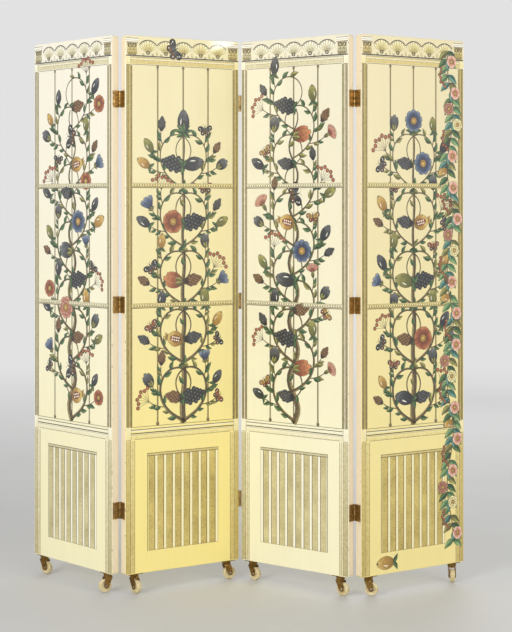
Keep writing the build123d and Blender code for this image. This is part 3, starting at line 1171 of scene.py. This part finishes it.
for number, (plant, kinds, twig_kinds) in PLANTS.items():
    face = Panel(number, mirrored=number == 3)
    both_ends(face, lambda: capital(face))
    frieze(face)
    architrave(face)
    both_ends(face, lambda: pilaster(face, "pale" if number % 2 else "tan"))
    bars(face)
    plant(face, kinds.split(), twig_kinds.split())
    for rail_top in RAIL_TOPS:
        rail(face, rail_top)
    dado(face)
    if number == 2:
        motif(face, "dark_butterfly", (196, face.down(50)), 0.5, 76)
    if number == 4:
        garland(face)
        motif(face, "pear", (150, 40), math.pi, 76)
    paints = panel_paints(number)
    face.pieces(f"panel_{number}_paint", f"panel_{number}", "painted_wood", paints)
    behind = Panel(number, side=-1)
    plain_back(behind)
    behind.pieces(f"panel_{number}_back", f"panel_{number}", "painted_wood", paints)
    cream = panel_paint(face, *CREAM[number])
    for part in ("board", "lipping"):
        dress_node(f"panel_{number}_{part}", cream)
    for side in ("left", "right"):
        castor(face, side, metals)
        for part in ("plate", "fork", "kingpin", "axle"):
            metal = "castor_brass" if part in ("plate", "fork") else "steel"
            dress_node(f"castor_{number}_{side}_{part}", metals[metal])

for fold in (1, 2, 3):
    hinge_screws(Panel(fold), fold, "left", metals)
    hinge_screws(Panel(fold + 1), fold, "right", metals)
    for part in ("hinge_leaves_left", "hinge_leaves_right", "hinge_pins"):
        dress_node(f"fold_{fold}_{part}", metals["hinge_brass"])


# The stage, in metres, with each lamp's place, its width and height, and its power in watts
CAMERA = (-0.0888, -6.1011, 1.3861)
LENS = 94.52
SHIFT = (0.0522, -0.1728)
FLOOR_RADIUS = 40.0
FLOOR_SIDES = 48
BACKDROP = (226, 226, 226)
KEY = ((-3.6, -4.8, 2.3), (3.0, 3.0), 180.0)
FILL = ((3.8, -3.8, 1.9), (2.6, 2.6), 80.0)
BACK_LIGHT = ((1.4, 5.2, 2.6), (3.0, 3.0), 45.0)
GLARE = ((2.69, -1.11, 1.95), (0.12, 0.9), 6.0)
GLARE_AIM = (-0.06, 0.03, 1.85)
AIM = (0.0, 0.0, 1.0)
AMBIENT = 0.54


def soft_lamp(name, place, size, power, colour=(1.0, 1.0, 1.0), aim=AIM):
    lamp = bpy.data.lights.new(name, "AREA")
    lamp.shape = "RECTANGLE"
    lamp.size, lamp.size_y = size
    lamp.energy = power
    lamp.color = colour
    holder = add_object(name, lamp)
    holder.location = place
    holder.rotation_euler = (Vector(aim) - Vector(place)).to_track_quat("-Z", "Y").to_euler()
    return holder


def floor():
    """A pale floor that fades into the background far from the object."""
    mesh = bpy.data.meshes.new("floor")
    corners = [step(2 * math.pi * i / FLOOR_SIDES, FLOOR_RADIUS) for i in range(FLOOR_SIDES)]
    mesh.from_pydata([(*corner, 0.0) for corner in corners], [], [tuple(range(FLOOR_SIDES))])
    piece = add_object("floor", mesh)
    finish = Finish("pale_floor", Roughness=0.6)
    finish.colour(finish.ramp(finish.noise(1.5, 3), (0.3, (208, 208, 208)), (0.7, (214, 214, 213))))
    far = finish.node("Emission", {"Color": BACKDROP})
    distance = finish.node("VectorMath", {0: finish.place}, "Value", operation="LENGTH")
    share = finish.span(distance, 1.2, 9.0)
    blend = finish.node("MixShader", {0: share, 1: finish.shader.outputs[0], 2: far})
    finish.link(blend, finish.nodes["Material Output"].inputs["Surface"])
    mesh.materials.append(finish.material)


def surroundings():
    """Even light from all round, and the pale backdrop for the camera and for reflections."""
    world = bpy.data.worlds.new("studio")
    world.use_nodes = True
    bpy.context.scene.world = world
    tree = Nodes(world.node_tree)
    light = tree.nodes["Background"]
    tree.put(light.inputs["Color"], (255, 255, 255))
    tree.put(light.inputs["Strength"], AMBIENT)
    seen = tree.node("Background", {"Color": BACKDROP})
    rays = [tree.node("LightPath", {}, f"Is {kind} Ray") for kind in ("Camera", "Glossy")]
    either = tree.node("Math", dict(enumerate(rays)), operation="MAXIMUM")
    blend = tree.node("MixShader", {0: either, 1: light.outputs[0], 2: seen})
    tree.link(blend, tree.nodes["World Output"].inputs["Surface"])


floor()
surroundings()
soft_lamp("key", *KEY)
soft_lamp("fill", *FILL, (1.0, 0.97, 0.9))
soft_lamp("back_light", *BACK_LIGHT)
glare = soft_lamp("glare", *GLARE, aim=GLARE_AIM)
glare.visible_diffuse = False

camera = add_object("camera", bpy.data.cameras.new("camera"))
camera.location = CAMERA
camera.rotation_euler = (math.pi / 2, 0, 0)
camera.data.lens = LENS
camera.data.sensor_width = 36.0
camera.data.shift_x, camera.data.shift_y = SHIFT
bpy.context.scene.camera = camera
bpy.context.scene.view_settings.view_transform = "Standard"
